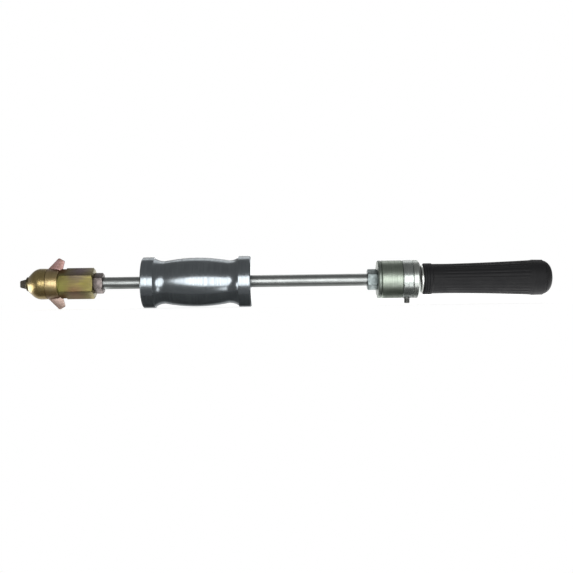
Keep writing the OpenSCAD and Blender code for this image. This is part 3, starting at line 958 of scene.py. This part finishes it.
def plain_ring(name, node, finish, hole_r, around=steps_around_wide,
               front_chamfer=ring_chamfer, rear_chamfer=ring_chamfer, edge=ring_edge):
    """A turned ring that fills a CAD node's box, with chamfered outer edges."""
    low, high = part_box(node)
    outer_r = high.z
    return turned(name, rounded([
        (low.x, hole_r, edge),
        (low.x, outer_r - front_chamfer, edge),
        (low.x + front_chamfer, outer_r, edge),
        (high.x - rear_chamfer, outer_r, edge),
        (high.x, outer_r - rear_chamfer, edge),
        (high.x, hole_r, edge),
    ]), finish, around)


# Beaten zinc is grey and scatters light. New zinc is pale with fine rings, and the washer,
# which nothing rubs, is nearly white.
dull_zinc = metal("beaten_zinc_plated_steel", "#7C837C", "#6A716A", roughness=0.5,
                  grain=(1.5 * mm, 4 * mm, 4 * mm), patch=5 * mm)
bright_zinc = metal("bright_zinc_plated_steel", "#AEB2AE", "#969B97", roughness=0.32,
                    grain=(0.8 * mm, 30 * mm, 30 * mm), patch=7 * mm)
polished_zinc = metal("polished_zinc_plated_steel", "#DCDEDA", "#C6C8C4", roughness=0.3,
                      grain=(0.8 * mm, 30 * mm, 30 * mm), patch=7 * mm)
striker = plain_ring("striker_disc", "striker_plate", dull_zinc, rod_r + slip_gap,
                     front_chamfer=striker_front_chamfer)
seat(striker, "shaft", "striker_plate")
clamp = plain_ring("clamp_ring_turned", "clamp_ring", bright_zinc, rod_r + thread_gap,
                   rear_chamfer=clamp_rear_chamfer)
seat(clamp, "shaft", "clamp_ring")
handle_washer = plain_ring("handle_washer_turned", "handle_washer", polished_zinc,
                           handle_washer_hole_r, steps_around)
seat(handle_washer, "shaft", "handle_washer")

# The terminal body is turned steel with clear zinc, which has a green cast. It is screwed
# on the rod, and its spigot behind carries the contact ring.
terminal_low, terminal_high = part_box("terminal_body")
contact_low, contact_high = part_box("contact_ring")
terminal_r = terminal_high.z
terminal_bore_r = rod_r + thread_gap
terminal_chamfer = 0.6 * mm
terminal_edge = 0.2 * mm
carrier_r = 12 * mm

# Clear passivated zinc is pale with a cool green cast, and its turning marks make faint rings.
green_zinc = metal("green_cast_zinc", "#8A9288", "#788076", roughness=0.4,
                   grain=(0.9 * mm, 30 * mm, 30 * mm), patch=9 * mm)
terminal = turned("terminal_turned", rounded([
    (terminal_low.x, terminal_bore_r, 0),
    (terminal_low.x, terminal_r - terminal_chamfer, terminal_edge),
    (terminal_low.x + terminal_chamfer, terminal_r, terminal_edge),
    (contact_low.x - terminal_chamfer, terminal_r, terminal_edge),
    (contact_low.x, terminal_r - terminal_chamfer, terminal_edge),
    (contact_low.x, carrier_r, 0),
    (terminal_high.x, carrier_r, 0),
    (terminal_high.x, terminal_bore_r, 0),
]), green_zinc, steps_around_wide)
seat(terminal, "shaft", "terminal_body")

# The contact ring is a bright turned ring on that spigot. The cable stud is screwed into
# its underside, and the welding cable's eye goes on the stud's M6 thread.
stud_low, stud_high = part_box("terminal_stud")
stud_x = (stud_low.x + stud_high.x) / 2
stud_root_r = stud_high.x - stud_x
stud_r = 3 * mm
stud_pitch = 1 * mm
stud_thread_depth = 0.55 * mm
stud_chamfer = 0.75 * mm
stud_edge = 0.3 * mm
stud_inner = -stud_high.z
stud_tip = -stud_low.z
stud_steps = 40
stud_steps_around = 48
ring_r = contact_high.z
stud_thread_from = ring_r + stud_edge

# Bright plating gives the ring a hard white line. The stud is dull from use and handling.
ring_plate = metal("bright_plated_ring", "#A4A9A6", "#8E9491", roughness=0.3,
                   grain=(0.8 * mm, 30 * mm, 30 * mm), patch=6 * mm)
stud_steel = metal("dulled_stud_steel", "#8E8F8C", "#737471", roughness=0.42,
                   grain=(2 * mm, 2 * mm, 2 * mm), patch=3 * mm)
contact = plain_ring("contact_ring_turned", "contact_ring", ring_plate, carrier_r + slip_gap)
hang_down = Matrix.Translation((stud_x, 0, 0)) @ Matrix.Rotation(math.radians(90), 4, "Y")
stud_hole = turned("stud_hole", [(stud_inner - overrun, 0),
                                 (stud_inner - overrun, stud_root_r + thread_gap),
                                 (stud_tip, stud_root_r + thread_gap), (stud_tip, 0)],
                   ring_plate, stud_steps_around)
stud_hole.data.transform(hang_down)
contact = boolean(contact, stud_hole, "DIFFERENCE")
seat(contact, "shaft", "contact_ring")
stud_points = [(stud_inner, 0), (stud_inner, stud_root_r), (ring_r - stud_edge, stud_root_r),
               (ring_r, stud_root_r - stud_edge), (ring_r, stud_r)]
stud_len = stud_tip - stud_chamfer - ring_r
for k in range(1, stud_steps + 1):
    stud_points.append((ring_r + stud_len * k / stud_steps, stud_r))
stud_points += [(stud_tip, stud_r - stud_chamfer), (stud_tip, 0)]
stud = turned("stud_m6", stud_points, stud_steel, stud_steps_around,
              thread_pitch=stud_pitch, thread_depth=stud_thread_depth,
              thread_start=stud_thread_from, thread_full=stud_thread_from + stud_pitch / 2,
              thread_fading=stud_tip - stud_pitch / 2, thread_end=stud_tip)
stud.data.transform(hang_down)
seat(stud, "shaft", "terminal_stud")

# Two fibre washers and the aluminium core keep the handle off the welding current. Only
# the front washer shows, as the dark gap in front of the bright washer.
fibre_hole_r = 5.1 * mm
fibre_chamfer = 0.1 * mm
fibre_edge = 0.05 * mm

# Vulcanised fibre is nearly black and has no shine, and its specks are drawn coarse enough
# to show. Drawn aluminium is pale, with long lines.
fibre = clouded_plastic("black_vulcanised_fibre", "#2B2724", "#1A1816", grain=0.8 * mm,
                        roughness=0.7)
core_aluminium = metal("drawn_aluminium", "#B8BABC", "#A4A6A8", roughness=0.4,
                       grain=(20 * mm, 1 * mm, 1 * mm), patch=8 * mm)
insulator = plain_ring("fibre_washer_front", "insulating_washer", fibre, fibre_hole_r,
                       steps_around, fibre_chamfer, fibre_chamfer, fibre_edge)
seat(insulator, "shaft", "insulating_washer")
repaint("end_insulating_washer", fibre)
repaint("handle_core", core_aluminium)
repaint("end_washer", nut_zinc)
repaint("end_nut", nut_zinc)

# The grip is moulded in black rubber and pushed on the core: a low rim in front, fine
# flutes along the palm, and a bead and a rounded closed end behind.
rubber_light = "#19191B"
rubber_dark = "#101011"
rubber_shine = 0.22
rubber_bloom = 14 * mm
rubber_smoothest = 0.55
rubber_roughest = 0.72
rubber_pore = 0.5 * mm
rubber_pore_depth = 0.03 * mm
rubber_pore_strength = 0.5
grip_low, grip_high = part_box("grip_sleeve")
grip_core_r = 10.6 * mm
grip_mouth_edge = 0.5 * mm
grip_rim_r = 15.5 * mm
grip_rim_w = 8 * mm
grip_rim_edge = 1.2 * mm
grip_rim_rear_edge = 1 * mm
rim_groove_places = (2.8 * mm, 5.2 * mm)
rim_groove_w = 0.7 * mm
rim_groove_depth = 0.5 * mm
rim_groove_edge = 0.1 * mm
rim_groove_bottom = 0.15 * mm
grip_waist_r = 14.7 * mm
grip_waist_x = grip_low.x + 21 * mm
waist_step_w = 1.2 * mm
waist_step_rise = 0.1 * mm
waist_step_edge = 0.6 * mm
grip_belly_r = 17.6 * mm
grip_dome_len = 12 * mm
grip_dome_x = grip_high.x - grip_dome_len
grip_flat_r = 7 * mm
bead_low_x = grip_dome_x - 8 * mm
bead_high_x = grip_dome_x + 4.8 * mm
bead_rise = 0.4 * mm
bead_slope = 1 * mm
bead_edge = 0.5 * mm
bead_crown_x = bead_high_x - 1.4 * mm
bead_crown_drop = 0.1 * mm
bead_crown_edge = 0.6 * mm
bead_foot_x = bead_high_x - 0.3 * mm
bead_foot_drop = 1.6 * mm
bead_foot_edge = 0.25 * mm
hollow_end_x = grip_high.x - 3 * mm
flute_count = 26
flute_depth = 0.4 * mm
flute_narrowness = 5.0
flute_from = grip_low.x + grip_rim_w + 4 * mm
flute_to = bead_low_x - 1.5 * mm
flute_fade = 5 * mm
steps_per_flute = 10
grip_steps = 60
dome_steps = 20

# Moulded rubber is nearly black and matt, with a faint bloom in broad patches. Its pores
# are drawn coarser than they are, so that they show.
grip_rubber, tree = empty_material("moulded_black_rubber")
place = add_node(tree, "ShaderNodeTexCoord")["Object"]
bloom = add_node(tree, "ShaderNodeTexNoise",
                 {"Vector": place, "Scale": 1 / rubber_bloom, "Detail": 4,
                  "Roughness": noise_roughness})[0]
pores = add_node(tree, "ShaderNodeTexNoise",
                 {"Vector": place, "Scale": 1 / rubber_pore, "Detail": 2})[0]
black = add_node(tree, "ShaderNodeMix", {mix_share: bloom, mix_first: colour(rubber_dark),
                                         mix_second: colour(rubber_light)}, data_type="RGBA")
matt = add_node(tree, "ShaderNodeMapRange",
                {"Value": bloom, "From Min": noise_low, "From Max": noise_high,
                 "To Min": rubber_smoothest, "To Max": rubber_roughest})[0]
grainy = add_node(tree, "ShaderNodeBump", {"Height": pores, "Strength": rubber_pore_strength,
                                           "Distance": rubber_pore_depth})[0]
shader = add_node(tree, "ShaderNodeBsdfPrincipled",
                  {"Base Color": black[mix_result], "Roughness": matt, "Normal": grainy,
                   "Specular IOR Level": rubber_shine})
add_node(tree, "ShaderNodeOutputMaterial", {"Surface": shader[0]})


def palm_r(x):
    """Radius of the grip between its waist and the start of its rounded end."""
    share = (x - grip_waist_x) / (grip_dome_x - grip_waist_x)
    return grip_waist_r + (grip_belly_r - grip_waist_r) * share ** 1.5


grip_corners = [
    (grip_low.x, grip_core_r, grip_mouth_edge),
    (grip_low.x, grip_rim_r, grip_rim_edge),
]
for groove_place in rim_groove_places:
    middle_x = grip_low.x + groove_place
    grip_corners += [
        (middle_x - rim_groove_w / 2, grip_rim_r, rim_groove_edge),
        (middle_x, grip_rim_r - rim_groove_depth, rim_groove_bottom),
        (middle_x + rim_groove_w / 2, grip_rim_r, rim_groove_edge),
    ]
grip_corners += [
    (grip_low.x + grip_rim_w, grip_rim_r, grip_rim_rear_edge),
    (grip_low.x + grip_rim_w + waist_step_w, grip_waist_r + waist_step_rise, waist_step_edge),
]
for k in range(grip_steps + 1):
    x = grip_waist_x + (bead_low_x - grip_waist_x) * k / grip_steps
    grip_corners.append((x, palm_r(x), 0))
grip_corners += [
    (bead_low_x + bead_slope, palm_r(bead_low_x) + bead_rise, bead_edge),
    (bead_crown_x, grip_belly_r - bead_crown_drop, bead_crown_edge),
    (bead_foot_x, grip_belly_r - bead_foot_drop, bead_foot_edge),
]
for k in range(dome_steps + 1):
    a = math.radians(90) * k / dome_steps
    x = grip_dome_x + grip_dome_len * math.sin(a)
    if x > bead_high_x:
        grip_corners.append((x, grip_flat_r + (grip_belly_r - grip_flat_r) * math.cos(a), 0))
grip_corners += [(grip_high.x, 0, 0), (hollow_end_x, 0, 0), (hollow_end_x, grip_core_r, 0)]
grip = turned("grip_moulded", rounded(grip_corners), grip_rubber, flute_count * steps_per_flute,
              flutes=flute_count, flute_depth=flute_depth, flute_narrowness=flute_narrowness,
              flute_start=flute_from, flute_full=flute_from + flute_fade,
              flute_fading=flute_to - flute_fade, flute_end=flute_to)
seat(grip, "shaft", "grip_sleeve")
